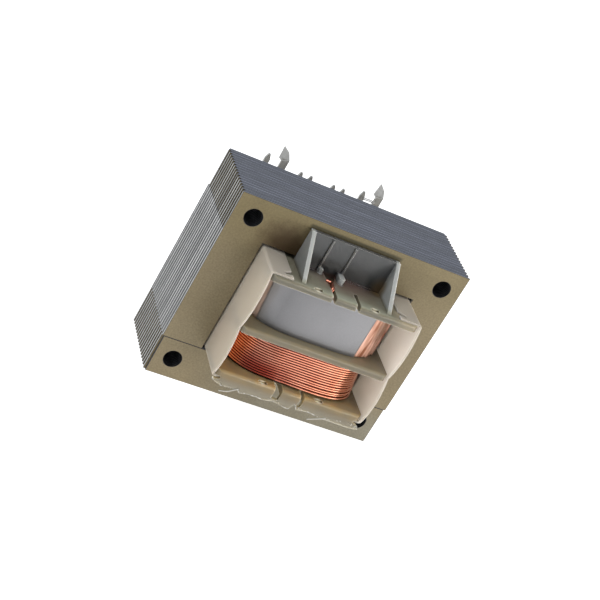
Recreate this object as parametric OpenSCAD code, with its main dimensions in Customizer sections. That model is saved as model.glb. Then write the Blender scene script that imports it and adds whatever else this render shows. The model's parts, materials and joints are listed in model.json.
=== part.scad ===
// Mains transformer on an interleaved EI core, with a two-chamber bobbin.
// The core stands on its lower edge: X runs along the core, -Y is the front, Z is up.
// The origin is the middle of the lower edge. All sizes are in millimetres.

/* [Core] */
// Width of an E lamination
core_w = 48; // [44:0.5:56]
// Height of an E and its I bar together
core_h = 40; // [36:0.5:48]
// Width of the centre leg
leg_w = 16; // [13:0.5:18]
// Width of each outer leg
side_leg_w = 8; // [6.5:0.5:9]
// Height of the yoke of an E, and of an I bar
yoke_h = 8; // [6.5:0.5:9.5]
// Number of layers in the stack
layer_count = 32; // [24:2:36]
// Thickness of one lamination
sheet_t = 0.5; // [0.4:0.05:0.6]
// Varnish between two layers
varnish_gap = 0.025; // [0.01:0.005:0.05]
// Joint between the leg ends of an E and its I bar
butt_gap = 0.05; // [0.02:0.01:0.15]
// How far each end of an I bar lies behind the E laminations beside it
i_recess = 0.35; // [0.05:0.05:0.4]

/* [Mounting holes] */
// Diameter of the four holes through the stack
hole_d = 3.5; // [2.5:0.1:4.5]
// Distance from a hole to the end of the core
hole_inset_x = 4; // [3:0.25:5]
// Distance from a hole to the upper or lower edge
hole_inset_z = 4; // [3:0.25:5]

/* [Bobbin] */
// Clearance between the centre leg and the tube of the bobbin
leg_gap = 0.15; // [0.1:0.05:0.4]
// Wall of the tube
tube_wall = 0.9; // [0.6:0.1:1.2]
// Thickness of the three flanges
flange_t = 1.3; // [0.8:0.1:1.6]
// How far the flanges stand out past the faces of the core
flange_reach = 9; // [8:0.25:11]
// Radius of the corners of the flanges
flange_corner_r = 1.2; // [0.6:0.1:2]
// Radius of the upper front edge of each flange
flange_edge_r = 0.6; // [0.2:0.1:0.8]
// Distance of the tag recesses in the front of two flanges from the middle
recess_x = 5.9; // [5:0.1:7]
// Width of such a recess
recess_w = 1.7; // [1:0.1:2]
// Length of such a recess, front to back
recess_l = 0.8; // [0.5:0.1:1.2]
// Depth of such a recess
recess_depth = 0.35; // [0.2:0.05:0.7]
// Web between such a recess and the front edge of its flange
recess_web = 0.3; // [0.2:0.05:0.6]
// Height of the lower chamber, which holds the secondary
lower_chamber_h = 8.45; // [7:0.05:10]
// Width across each terminal pocket
pocket_w = 18.6; // [16:0.2:20]
// Height of a terminal pocket above its flange
pocket_h = 7; // [5:0.2:8]
// Thickness of the side cheeks of a pocket
cheek_t = 0.8; // [0.6:0.1:1.6]
// Distance from the edge of the flange to the foot of a cheek
cheek_setback = 0.9; // [0.5:0.1:1.5]
// Width and depth of the ribs that divide the wall of a pocket
rib_w = 0.35; // [0.2:0.05:0.6]
// Distance of the left rib from the middle one
rib_pitch = 4.7; // [4:0.1:5]
// Distance of the two front lead slits from the middle
slit_x = 2.5; // [2:0.1:3]
// Width of a lead slit
slit_w = 0.8; // [0.6:0.1:1.2]
// How far a slit reaches in past the face of the windings
slit_past = 1.4; // [0.8:0.1:2]
// Width of the left lower slit, which has broken open
broken_slit_w = 1.5; // [1:0.1:1.8]
// Width of the tongue beside the opening in the floor of the front pocket
tongue_w = 1.2; // [0.8:0.1:1.6]
// Length of that tongue, from the wall
tongue_l = 2.4; // [1:0.1:3]
// Height of that tongue
tongue_h = 1.1; // [0.5:0.1:1.5]
// Width and depth of the peg at the foot of the left rib of the front pocket
peg_w = 0.7; // [0.4:0.1:1]
// Height of that peg
peg_h = 0.9; // [0.5:0.1:1.3]
// Height and depth of the ridge along the foot of the wall of the front pocket
ridge_w = 0.3; // [0.2:0.05:0.5]
// Length of that ridge
ridge_l = 5.6; // [3:0.2:6]
// Drop of the snapped lip under the lower front edge
lip_drop = 1.75; // [1:0.05:2.2]
// Thickness of that lip
lip_t = 0.8; // [0.5:0.1:1.2]

/* [Windings] */
// Turns in the outer layer of the secondary
secondary_turns = 16; // [12:1:20]
// Depth of the groove between two turns of the secondary
turn_groove = 0.14; // [0.08:0.02:0.2]
// Height of the groove between two turns
turn_groove_h = 0.13; // [0.08:0.01:0.2]
// Distance from the ends of the flanges to the secondary
secondary_inset_x = 1.05; // [0.5:0.05:2]
// Distance from the front edge of the flanges to the secondary
secondary_inset_y = 1.9; // [1.4:0.1:3]
// Distance from the ends of the flanges to the primary
primary_inset_x = 1.05; // [0.5:0.05:2]
// Distance from the front edge of the flanges to the primary
primary_inset_y = 2.6; // [2:0.1:3.5]
// Thickness of the clear film over the primary
film_t = 0.12; // [0.05:0.01:0.2]
// Thickness of the label
label_t = 0.1; // [0.05:0.01:0.2]
// Left and right ends of the label
label_left = -12; // [-12.4:0.1:-8]
label_right = 8.4; // [6:0.1:10]

/* [Covers] */
// Sheet thickness of the insulating covers
cover_t = 0.35; // [0.25:0.05:0.8]
// Clearance between a cover and the outer leg beside it
cover_gap = 0.3; // [0.1:0.05:0.6]
// Outer radius of the folds of a cover
cover_bend = 0.5; // [0.4:0.1:1.2]
// Distance from the edge of the flanges back to the corners of a cover
cover_setback = 0.4; // [0.2:0.1:1]
// How far the lobes of a cover stand out past its corners
cover_lobe = 1.1; // [0.6:0.1:1.6]
// Clearance between a pocket and the turned-in edges of a cover
return_gap = 1.9; // [1.4:0.1:2.6]
// Distance from the edge of the flanges to the wire notch in a turned-in edge
wire_notch_inset = 2.9; // [2.6:0.1:3.4]
// Length of that notch
wire_notch_l = 1.7; // [1:0.1:2.2]
// Width of that notch
wire_notch_w = 1.3; // [0.8:0.1:1.5]

/* [Tags] */
// Thickness of the solder tags
tag_t = 0.5; // [0.3:0.05:0.6]
// Distance of the inner tags from the middle
inner_tag_x = 3.65; // [3.4:0.05:4]
// Distance of the outer tags from the middle
outer_tag_x = 10.65; // [10:0.05:11]
// Width of an inner tag
inner_tag_w = 3.3; // [2.8:0.1:4]
// Width of an outer tag
outer_tag_w = 4.75; // [4:0.05:5]
// Height of the shoulders
shoulder_h = 1.2; // [0.8:0.1:1.6]
// Width of the foot of a tag, in its slot
tag_foot_w = 1.6; // [1.2:0.1:2]
// How far the foot stands out past the flange
foot_proud = 0.8; // [0.4:0.1:1.2]
// Width of a plain prong
prong_w = 1.1; // [0.8:0.1:1.3]
// Height of the prongs of an inner tag
inner_prong_l = 5.9; // [4:0.1:6.5]
// Height of the left prong of an outer tag
outer_prong_l = 7; // [4:0.1:7.5]
// Width of the blade that an outer tag has for its right prong
blade_w = 1.5; // [1.2:0.1:1.8]
// Height of that blade up to the bend of its head
blade_l = 7.2; // [4:0.1:7.5]
// Backward bend of the heads of the upper blades in degrees
upper_bend = 35; // [0:5:60]
// Inward bend of the heads of the lower blades in degrees
lower_bend = 95; // [90:5:110]
// Sideways lean of the heads of the left and right upper blades in degrees
left_lean = 22; // [0:1:30]
right_lean = 8; // [0:1:30]
// How far a lead reaches into its chamber
lead_reach = 2; // [1:0.5:4]
// Diameter of the lead of the primary
primary_lead_d = 0.4; // [0.3:0.05:0.6]
// Diameter of the lead of the secondary
secondary_lead_d = 0.55; // [0.4:0.05:0.65]

/* [Hidden] */
$fn = 48;
fit_gap = 0.05;
window_gap = 0.35;
overlap = 0.01;
cut = 1;
layer_pitch = sheet_t + varnish_gap;
half_stack = layer_count * layer_pitch / 2;
window_x = core_w / 2 - side_leg_w;
window_top = core_h - yoke_h;

// Covers line the outer walls of the windows, with a little room
cover_x = window_x - cover_gap;
cover_low = yoke_h + window_gap;
cover_high = window_top - window_gap;

// Bobbin, inside the covers
flange_x = cover_x - cover_t - 3 * fit_gap;
flange_y = half_stack + flange_reach;
bobbin_low = cover_low + cover_t + fit_gap;
bobbin_high = cover_high - cover_t - fit_gap;
tube_x = leg_w / 2 + leg_gap + tube_wall;
tube_y = half_stack + leg_gap + tube_wall;
lower_floor = bobbin_low + flange_t;
lower_ceiling = lower_floor + lower_chamber_h;
upper_floor = lower_ceiling + flange_t;
upper_ceiling = bobbin_high - flange_t;
pocket_x = pocket_w / 2;
slit_depth = max(secondary_inset_y, primary_inset_y) + slit_past;

// Break along the lip: shares of half the flange's width, and of the drop that has gone
LIP_TEETH = [
    [-0.96, 0.3],
    [-0.87, 0.06],
    [-0.64, 0.17],
    [-0.6, -0.17],
    [-0.57, 0],
    [-0.39, 0.09],
    [-0.28, -0.03],
    [-0.16, 0.2],
    [-0.06, 0],
    [0.06, -0.11],
    [0.11, 0.75],
    [0.16, 0.11],
    [0.34, 0.28],
    [0.54, 0.03],
    [0.93, -0.03],
    [1.02, 0.11]
];

// Covers, continued: their turned-in edges stop short of the pockets
return_x = pocket_x + return_gap;
cover_y = flange_y - cover_setback;

// Windings: a superellipse in plan, bowed between rounded corners
plan_steps = 48;
plan_power_secondary = 4;
plan_power_primary = 3.8;
secondary_x = flange_x - secondary_inset_x;
secondary_y = flange_y - secondary_inset_y;
primary_x = flange_x - primary_inset_x;
primary_y = flange_y - primary_inset_y;
turn_pitch = (lower_chamber_h - 2 * fit_gap) / secondary_turns;

// Tags stand in ears on the rear edge of the outer flanges, with a lead slit between two ears
TAG_PLACES = [
    ["left_outer", -outer_tag_x],
    ["left_inner", -inner_tag_x],
    ["right_inner", inner_tag_x],
    ["right_outer", outer_tag_x]
];
tag_y = flange_y + 2 * fit_gap;
ear_margin = 0.5;
ear_w = outer_tag_w + 2 * ear_margin;
ear_y = tag_y + tag_t + ear_margin;
rear_slit_x = (inner_tag_x + outer_tag_x) / 2;
foot_l = flange_t + foot_proud;

function two_digits(n) = str(n < 10 ? "0" : "", n);
function e_name(layer) = str("e_lamination_", two_digits(layer + 1));
SIDES = ["left", "right"];

// Layers alternate: an even one has its yoke on top, an odd one at the bottom
function yoke_on_top(layer) = layer % 2 == 0;
function layer_y(layer) = -half_stack + varnish_gap / 2 + layer * layer_pitch;

// Stands a flat outline, drawn in X and Z, at depth y with thickness t
module stand(y, t) {
    translate([0, y + t, 0])
        rotate([90, 0, 0])
            linear_extrude(t)
                children();
}

// Turns what is drawn for the upper end of the core over to the lower end
module turn_over(over) {
    translate([0, 0, over ? core_h : 0])
        mirror([0, 0, over ? 1 : 0])
            children();
}

module two_holes() {
    for (side = [-1, 1])
        translate([side * (core_w / 2 - hole_inset_x), core_h - hole_inset_z])
            circle(d = hole_d);
}

module e_outline() {
    leg_end = yoke_h + butt_gap / 2;
    difference() {
        translate([-core_w / 2, leg_end])
            square([core_w, core_h - leg_end]);
        for (side = [-1, 1])
            translate([side * (window_x + leg_w / 2) / 2, (window_top + leg_end - cut) / 2])
                square([window_x - leg_w / 2, window_top - leg_end + cut], center = true);
        two_holes();
    }
}

module i_outline() {
    i_low = window_top + butt_gap / 2;
    difference() {
        translate([-core_w / 2 + i_recess, i_low])
            square([core_w - 2 * i_recess, core_h - i_low]);
        two_holes();
    }
}

module e_lamination(layer) {
    color("darkkhaki")
        turn_over(!yoke_on_top(layer))
            stand(layer_y(layer), sheet_t)
                e_outline();
}

module i_laminations(upper) {
    color("tan")
        for (layer = [0 : layer_count - 1])
            if (yoke_on_top(layer) != upper)
                turn_over(!upper)
                    stand(layer_y(layer), sheet_t)
                        i_outline();
}

// Rectangle about the origin, with round corners
module rounded_rectangle(half_x, half_y, r) {
    square([2 * (half_x - r), 2 * half_y], center = true);
    square([2 * half_x, 2 * (half_y - r)], center = true);
    for (x = [r - half_x, half_x - r], y = [r - half_y, half_y - r])
        translate([x, y])
            circle(r = r);
}

module flange(low) {
    translate([0, 0, low])
        linear_extrude(flange_t)
            rounded_rectangle(flange_x, flange_y, flange_corner_r);
}

// What is taken off along the upper front edge of a flange to round it
module edge_rounding(top) {
    translate([-flange_x - cut, -flange_y, top])
        rotate([90, 0, 90])
            linear_extrude(2 * (flange_x + cut))
                difference() {
                    translate([-cut, -flange_edge_r])
                        square(flange_edge_r + cut);
                    translate([flange_edge_r, -flange_edge_r])
                        circle(r = flange_edge_r);
                }
}

// Recesses for a second row of tags, near the front edge of a flange
module tag_recesses(top) {
    for (side = [-1, 1])
        translate([side * recess_x - recess_w / 2, recess_web - flange_y, top - recess_depth])
            cube([recess_w, recess_l, recess_depth + cut]);
}

// Wall, cheeks and ribs of one terminal pocket, on the rear of the upper flange
module pocket() {
    floor_z = bobbin_high - overlap;
    wall_y = tube_y - tube_wall;
    top_z = bobbin_high + pocket_h;
    translate([-pocket_x, wall_y, floor_z])
        cube([pocket_w, tube_wall, top_z - floor_z]);
    for (side = [-1, 1])
        translate([side * (pocket_x - cheek_t / 2) - cheek_t / 2, 0, 0])
            rotate([90, 0, 90])
                linear_extrude(cheek_t)
                    polygon([
                        [wall_y, floor_z],
                        [flange_y - cheek_setback, floor_z],
                        [tube_y, top_z],
                        [wall_y, top_z]
                    ]);
    for (x = [-rib_pitch, 0])
        translate([x - rib_w / 2, tube_y - overlap, floor_z])
            cube([rib_w, rib_w, pocket_h - rib_w]);
}

// Ears with a slot for each tag, on the rear edge of the upper flange
module ears() {
    for (place = TAG_PLACES)
        translate([place[1] - ear_w / 2, flange_y - ear_margin, bobbin_high - flange_t])
            cube([ear_w, ear_y - flange_y + ear_margin, flange_t]);
}

module tag_slots() {
    for (place = TAG_PLACES)
        translate([
            place[1] - tag_foot_w / 2 - fit_gap,
            tag_y - fit_gap,
            bobbin_high - flange_t - cut
        ])
            cube([tag_foot_w + 2 * fit_gap, tag_t + 2 * fit_gap, flange_t + 2 * cut]);
}

// Slit in the rear edge of the upper flange, for a lead from the chamber
module slit(x, w) {
    translate([x - w / 2, flange_y - slit_depth, bobbin_high - flange_t - cut])
        cube([w, slit_depth + cut, flange_t + 2 * cut]);
}

// Opening in the floor of the upper front pocket, at the end of the left slit
module floor_opening() {
    slit_end = -flange_y + slit_depth;
    translate([0, 0, bobbin_high - flange_t - cut])
        linear_extrude(flange_t + 2 * cut)
            polygon([
                [-slit_x - slit_w / 2, slit_end],
                [-slit_x + slit_w / 2, slit_end - overlap],
                [-slit_x + 2 * slit_w, -tube_y],
                [-slit_x - slit_w, -tube_y]
            ]);
}

// Tongue with a round end, to the right of that opening
module tongue() {
    straight = tongue_l - tongue_w / 2;
    translate([-0.7 * tongue_w, -tube_y - straight, bobbin_high - overlap]) {
        cube([tongue_w, straight + overlap, tongue_h]);
        translate([tongue_w / 2, 0, 0])
            cylinder(d = tongue_w, h = tongue_h);
    }
}

// Peg beside the left rib, and ridge to the right of the tongue, along the wall of the front pocket
module wall_foot() {
    floor_z = bobbin_high - overlap;
    translate([rib_w / 2 - rib_pitch - overlap, -tube_y - peg_w, floor_z])
        cube([peg_w, peg_w + overlap, peg_h]);
    translate([tongue_w, -tube_y - ridge_w, floor_z])
        cube([ridge_l, ridge_w + overlap, ridge_w]);
}

// Lip under the lower front edge, with the ragged lower edge of a break
module snapped_lip() {
    full = bobbin_low - lip_drop;
    under_cover = cover_low - fit_gap;
    straight_x = flange_x - flange_corner_r;
    difference() {
        stand(-flange_y, lip_t)
            polygon(concat(
                [
                    [straight_x, bobbin_low + overlap],
                    [-straight_x, bobbin_low + overlap],
                    [-straight_x, under_cover],
                    [-flange_x, under_cover - lip_drop / 4]
                ],
                [for (tooth = LIP_TEETH) [tooth[0] * flange_x, full + tooth[1] * lip_drop]],
                [
                    [flange_x, under_cover - lip_drop / 4],
                    [straight_x, under_cover]
                ]
            ));
        for (side = [0, 1])
            mirror([side, 0, 0])
                translate([return_x - fit_gap, -cover_y - fit_gap, under_cover])
                    cube([flange_x, cover_y, bobbin_low - under_cover]);
    }
}

module both_ends() {
    children();
    turn_over(true)
        children();
}

module bobbin() {
    color("gainsboro")
        difference() {
            union() {
                translate([-tube_x, -tube_y, bobbin_low])
                    cube([2 * tube_x, 2 * tube_y, bobbin_high - bobbin_low]);
                for (low = [bobbin_low, lower_ceiling, bobbin_high - flange_t])
                    flange(low);
                both_ends() {
                    pocket();
                    ears();
                }
                mirror([0, 1, 0])
                    pocket();
                tongue();
                wall_foot();
                snapped_lip();
            }
            translate([-tube_x + tube_wall, -tube_y + tube_wall, 0])
                cube([2 * (tube_x - tube_wall), 2 * (tube_y - tube_wall), core_h]);
            both_ends() {
                tag_slots();
                for (side = [-1, 1]) {
                    slit(side * rear_slit_x, slit_w);
                    mirror([0, 1, 0])
                        slit(side * slit_x, slit_w);
                }
            }
            for (top = [lower_floor, upper_floor, bobbin_high])
                edge_rounding(top);
            for (top = [lower_floor, bobbin_high])
                tag_recesses(top);
            floor_opening();
            turn_over(true)
                mirror([0, 1, 0])
                    slit(-slit_x, broken_slit_w);
        }
}

function signed_power(v, p) = sign(v) * pow(abs(v), p);
function plan(half_x, half_y, power) = [
    for (k = [0 : plan_steps - 1])
        let (angle = 360 * k / plan_steps)
            [
                half_x * signed_power(cos(angle), 2 / power),
                half_y * signed_power(sin(angle), 2 / power)
            ]
];

module tube_hollow() {
    square([2 * (tube_x + fit_gap), 2 * (tube_y + fit_gap)], center = true);
}

module secondary_winding() {
    low = lower_floor + fit_gap;
    color("orangered")
        difference() {
            union() {
                translate([0, 0, low])
                    linear_extrude(secondary_turns * turn_pitch)
                        polygon(plan(secondary_x - turn_groove, secondary_y - turn_groove, plan_power_secondary));
                for (turn = [0 : secondary_turns - 1])
                    translate([0, 0, low + turn * turn_pitch + turn_groove_h / 2])
                        linear_extrude(turn_pitch - turn_groove_h)
                            polygon(plan(secondary_x, secondary_y, plan_power_secondary));
            }
            translate([0, 0, low - cut])
                linear_extrude(lower_chamber_h + 2 * cut)
                    tube_hollow();
        }
}

module primary_layer(inner, outer) {
    translate([0, 0, upper_floor + fit_gap])
        linear_extrude(upper_ceiling - upper_floor - 2 * fit_gap)
            difference() {
                polygon(plan(primary_x + outer, primary_y + outer, plan_power_primary));
                if (inner >= 0)
                    polygon(plan(primary_x + inner, primary_y + inner, plan_power_primary));
                tube_hollow();
            }
}

module primary_winding() {
    color("peru")
        primary_layer(-1, 0);
}

module primary_film() {
    color("lightyellow", 0.5)
        primary_layer(fit_gap / 2, fit_gap / 2 + film_t);
}

module label() {
    film_face = fit_gap / 2 + film_t;
    color("silver")
        intersection() {
            primary_layer(film_face + fit_gap / 2, film_face + fit_gap / 2 + label_t);
            translate([label_left, -flange_y, 0])
                cube([label_right - label_left, flange_y, core_h]);
        }
}

// Rounded bulge between two heights, past the corner of a cover wall at depth cover_y
module lobe(low, high) {
    half = (high - low) / 2;
    radius = (half * half + cover_lobe * cover_lobe) / (2 * cover_lobe);
    intersection() {
        translate([cover_y + cover_lobe - radius, (low + high) / 2])
            circle(r = radius, $fn = 96);
        translate([0, low])
            square([cover_y + cover_lobe + cut, high - low]);
    }
}

module cover_wall() {
    middle = (lower_ceiling + upper_floor) / 2;
    translate([cover_x - cover_t, 0, 0])
        rotate([90, 0, 90])
            linear_extrude(cover_t)
                union() {
                    translate([-cover_y, cover_low])
                        square([2 * cover_y, cover_high - cover_low]);
                    for (end = [0, 1])
                        mirror([end, 0]) {
                            lobe(cover_low, middle);
                            lobe(middle, cover_high);
                        }
                }
}

// Turned-in edge of a cover, with a slanting notch near each end for a wire
module cover_return(low) {
    notch_y = flange_y - wire_notch_inset;
    translate([0, 0, low])
        linear_extrude(cover_t)
            difference() {
                translate([return_x, -cover_y])
                    square([cover_x - return_x, 2 * cover_y]);
                for (end = [0, 1])
                    mirror([0, end])
                        polygon([
                            [return_x - cut, notch_y],
                            [return_x, notch_y],
                            [return_x + wire_notch_l, notch_y + 0.7 * wire_notch_w],
                            [return_x + 0.8 * wire_notch_l, notch_y + 1.2 * wire_notch_w],
                            [return_x, notch_y + wire_notch_w],
                            [return_x - cut, notch_y + wire_notch_w]
                        ]);
            }
}

// Room that the sheet of a cover stays in, round along its folds
module folded_room() {
    half_depth = flange_y + cover_lobe + cut;
    stand(-half_depth, 2 * half_depth)
        translate([0, (cover_low + cover_high) / 2])
            rounded_rectangle(cover_x, (cover_high - cover_low) / 2, cover_bend);
}

module cover(side) {
    color("wheat")
        mirror([side == "left" ? 1 : 0, 0, 0])
            intersection() {
                union() {
                    cover_wall();
                    cover_return(cover_high - cover_t);
                    cover_return(cover_low);
                }
                folded_room();
            }
}

// Plain prong, cut to a blunt point
module prong(l) {
    polygon([
        [0, 0],
        [prong_w, 0],
        [prong_w, l - prong_w],
        [0.65 * prong_w, l],
        [0.35 * prong_w, l],
        [0, l - prong_w]
    ]);
}

// Forked solder tag: a foot in the slot of its ear, shoulders on the ear and a prong at the left
module tag(w, left_l) {
    shoulder_z = bobbin_high + fit_gap;
    stand(tag_y, tag_t) {
        translate([-tag_foot_w / 2, shoulder_z - foot_l])
            square([tag_foot_w, foot_l + shoulder_h / 2]);
        translate([-w / 2, shoulder_z])
            square([w, shoulder_h]);
        translate([-w / 2, shoulder_z])
            prong(left_l);
        translate([w / 2, shoulder_z])
            children();
    }
}

module inner_tag() {
    tag(inner_tag_w, inner_prong_l)
        translate([-prong_w, 0])
            prong(inner_prong_l);
}

// The blade of an outer tag ends in a pointed head, bent over
module outer_tag(bend, lean) {
    half = blade_w / 2;
    tag(outer_tag_w, outer_prong_l)
        translate([-blade_w, 0])
            square([blade_w, blade_l]);
    translate([outer_tag_w / 2 - half, tag_y + tag_t / 2, bobbin_high + fit_gap + blade_l - tag_t / 2])
        rotate([bend, -lean, 0])
            stand(-tag_t / 2, tag_t)
                polygon([
                    [-half, -tag_t / 2],
                    [half, -tag_t / 2],
                    [half, 1.8 * half],
                    [-0.1 * half, 3.6 * half],
                    [-1.7 * half, 0.7 * half]
                ]);
}

module placed_tag(place, over) {
    lean = place[1] < 0 ? left_lean : right_lean;
    color("silver")
        turn_over(over)
            translate([place[1], 0, 0])
                if (abs(place[1]) == inner_tag_x)
                    inner_tag();
                else
                    outer_tag(over ? lower_bend : -upper_bend, over ? 0 : lean);
}

// Round wire swept along points, as one closed skin with square ends
function unit(v) = v / norm(v);
function heading(points, k) =
    unit(points[min(k + 1, len(points) - 1)] - points[max(k - 1, 0)]);
function wire_ring(centre, along, radius, sides) =
    let (
        reference = abs(along[2]) < 0.9 ? [0, 0, 1] : [0, 1, 0],
        across = unit(cross(along, reference)),
        upward = cross(across, along)
    )
    [
        for (k = [0 : sides - 1])
            let (angle = 360 * k / sides)
                centre + radius * (cos(angle) * across + sin(angle) * upward)
    ];

module wire(points, d) {
    sides = 8;
    rings = len(points);
    skin = [
        for (k = [0 : rings - 1])
            each wire_ring(points[k], heading(points, k), d / 2, sides)
    ];
    walls = [
        for (k = [0 : rings - 2], s = [0 : sides - 1])
            let (next = (s + 1) % sides)
                [
                    k * sides + s,
                    k * sides + next,
                    (k + 1) * sides + next,
                    (k + 1) * sides + s
                ]
    ];
    first = [for (s = [sides - 1 : -1 : 0]) s];
    last = [for (s = [0 : sides - 1]) (rings - 1) * sides + s];
    polyhedron(points = skin, faces = concat([first, last], walls), convexity = 6);
}

// Lead from a winding out through a rear slit and along the flange to an outer tag
module lead(start_y, start_z, d) {
    out_y = start_y + fit_gap + d / 2;
    run_z = bobbin_high + fit_gap + d / 2;
    end_x = outer_tag_x - outer_tag_w / 2 - fit_gap - d / 2;
    end_y = tag_y + tag_t / 2;
    wire([
        [rear_slit_x, out_y, start_z],
        [rear_slit_x, out_y, run_z - d],
        [rear_slit_x + d / 8, out_y + d / 4, run_z - d / 4],
        [rear_slit_x + d / 4, out_y + d, run_z],
        [(rear_slit_x + end_x) / 2, (out_y + end_y) / 2 + d, run_z],
        [end_x, end_y, run_z]
    ], d);
}

module placed_lead(side, over, start_y, start_z, d) {
    color("sienna")
        turn_over(over)
            mirror([side == "left" ? 1 : 0, 0, 0])
                lead(start_y, start_z, d);
}

module primary_lead(side) {
    film_face = primary_y + fit_gap / 2 + film_t;
    placed_lead(side, false, film_face, upper_ceiling - lead_reach, primary_lead_d);
}

module secondary_lead(side) {
    placed_lead(side, true, secondary_y, core_h - lower_floor - lead_reach, secondary_lead_d);
}

for (layer = [0 : layer_count - 1])
    e_lamination(layer);
i_laminations(false);  // i_laminations_lower
i_laminations(true);  // i_laminations_upper
bobbin();
secondary_winding();
primary_winding();
primary_film();
label();
for (side = SIDES) {
    cover(side);
    primary_lead(side);
    secondary_lead(side);
}
for (place = TAG_PLACES) {
    placed_tag(place, false);
    placed_tag(place, true);
}
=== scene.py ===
"""Mains transformer on an EI core: finishes, wound wire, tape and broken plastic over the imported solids."""
import json
import math
import random

import bpy
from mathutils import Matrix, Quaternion, Vector


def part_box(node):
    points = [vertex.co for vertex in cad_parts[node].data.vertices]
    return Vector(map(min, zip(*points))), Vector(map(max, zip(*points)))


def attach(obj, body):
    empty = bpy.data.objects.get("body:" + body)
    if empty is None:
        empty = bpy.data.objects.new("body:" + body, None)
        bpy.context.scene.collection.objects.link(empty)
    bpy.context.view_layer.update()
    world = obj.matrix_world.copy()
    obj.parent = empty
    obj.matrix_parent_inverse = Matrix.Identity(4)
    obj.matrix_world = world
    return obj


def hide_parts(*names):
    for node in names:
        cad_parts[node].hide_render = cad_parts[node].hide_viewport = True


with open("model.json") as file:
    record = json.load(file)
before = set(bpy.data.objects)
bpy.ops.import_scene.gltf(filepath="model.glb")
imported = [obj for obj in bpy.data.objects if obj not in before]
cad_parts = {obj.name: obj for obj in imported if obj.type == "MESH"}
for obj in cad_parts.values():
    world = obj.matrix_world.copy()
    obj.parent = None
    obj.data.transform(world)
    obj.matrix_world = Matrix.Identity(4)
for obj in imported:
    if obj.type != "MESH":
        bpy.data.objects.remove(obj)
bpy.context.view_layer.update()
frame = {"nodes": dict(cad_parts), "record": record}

MM = 0.001
BODY = "root"

# The view: what the camera looks at, from which side, and its turn about its own line of sight
LOOKED_AT = Vector((-3.93, -8.4, 24.08)) * MM
CAMERA_DISTANCE = 294.14 * MM
CAMERA_AZIMUTH = math.radians(-26.2)
CAMERA_ELEVATION = math.radians(23.42)
CAMERA_ROLL = math.radians(31.03)
LENS_MM = 97.01
SENSOR_MM = 36.0

# Sizes that the finishes and the added pieces take from the solids
NODES = frame["nodes"]
SHEETS = sorted(name for name in NODES if name.startswith("e_lamination"))
BARS = ["i_laminations_lower", "i_laminations_upper"]
TAGS = sorted(name for name in NODES if "_tag_" in name)
LEADS = sorted(name for name in NODES if "_lead_" in name)
CORE_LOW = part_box(SHEETS[1])[0]
CORE_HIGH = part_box(SHEETS[-2])[1]
CORE_MIDDLE = (CORE_LOW + CORE_HIGH) / 2
YOKE_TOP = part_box(BARS[0])[1].z
HOLES = next(m for m in frame["record"]["mounts"] if m["name"] == "mounting_holes")["dims"]
HOLE_PLACE = Vector((HOLES["spacing_x_mm"], 0, HOLES["spacing_y_mm"])) * MM / 2
HOLE_RADIUS = HOLES["hole_r_mm"] * MM
COIL_LOW, COIL_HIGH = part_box("secondary_winding")
TAPE_LOW, TAPE_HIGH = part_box("primary_film")
LABEL_LOW, LABEL_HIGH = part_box("label")

# Plan of the windings: a superellipse, with these powers
COIL_POWER = 4.0
TAPE_POWER = 3.8

# Heights of the bobbin's front pocket, which finishes follow
POCKET_FLOOR = 31.2 * MM
POCKET_TOP = 38.4 * MM


def linear(colour):
    """An sRGB hex colour as linear red, green, blue and alpha."""
    channels = [int(colour[k:k + 2], 16) / 255 for k in (1, 3, 5)]
    return [c / 12.92 if c <= 0.04045 else ((c + 0.055) / 1.055) ** 2.4 for c in channels] + [1.0]


def give(tree, node, inputs):
    """Sets a node's inputs: a node or socket is linked, a hex colour made linear, any other value set."""
    for key, given in inputs.items():
        if isinstance(given, bpy.types.Node):
            given = next(output for output in given.outputs if output.enabled)
        if isinstance(given, bpy.types.NodeSocket):
            tree.links.new(given, node.inputs[key])
        else:
            node.inputs[key].default_value = linear(given) if isinstance(given, str) else given


def add(tree, kind, inputs=None, **settings):
    """One new node, with its settings and its inputs."""
    node = tree.nodes.new(kind)
    for name, value in settings.items():
        setattr(node, name, value)
    give(tree, node, inputs or {})
    return node


def start_material(name, **shader_values):
    """A new material: itself, its tree, its shader and the piece's own coordinates."""
    material = bpy.data.materials.new(name)
    material.use_nodes = True
    tree = material.node_tree
    shader = tree.nodes["Principled BSDF"]
    give(tree, shader, {key.replace("_", " "): value for key, value in shader_values.items()})
    place = add(tree, "ShaderNodeTexCoord").outputs["Object"]
    return material, tree, shader, place


def end_material(tree, shader, colour, relief=None, strength=0.0, depth=0.0):
    """Ends a material with its colour and, where it has one, the fine relief that breaks up its gloss."""
    give(tree, shader, {"Base Color": colour})
    if relief is not None:
        bump = add(tree, "ShaderNodeBump", {"Height": relief, "Strength": strength, "Distance": depth})
        give(tree, shader, {"Normal": bump})


def clouds(tree, place, size, dark, light, detail=2.0):
    """Two tones that drift into each other, in clouds of one size."""
    cloud = add(tree, "ShaderNodeTexNoise", {"Vector": place, "Scale": 1 / size, "Detail": detail})
    return add(tree, "ShaderNodeMix", {"Factor": cloud, "A": dark, "B": light}, data_type="RGBA")


def together(tree, share, *others):
    """Shares that have to hold together: their product."""
    for other in others:
        share = add(tree, "ShaderNodeMath", {0: share, 1: other}, operation="MULTIPLY")
    return share


def away_from(tree, value, middle):
    """How far a value is from a middle, to either side."""
    offset = add(tree, "ShaderNodeMath", {0: value, 1: middle}, operation="SUBTRACT")
    return add(tree, "ShaderNodeMath", {0: offset}, operation="ABSOLUTE")


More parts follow.
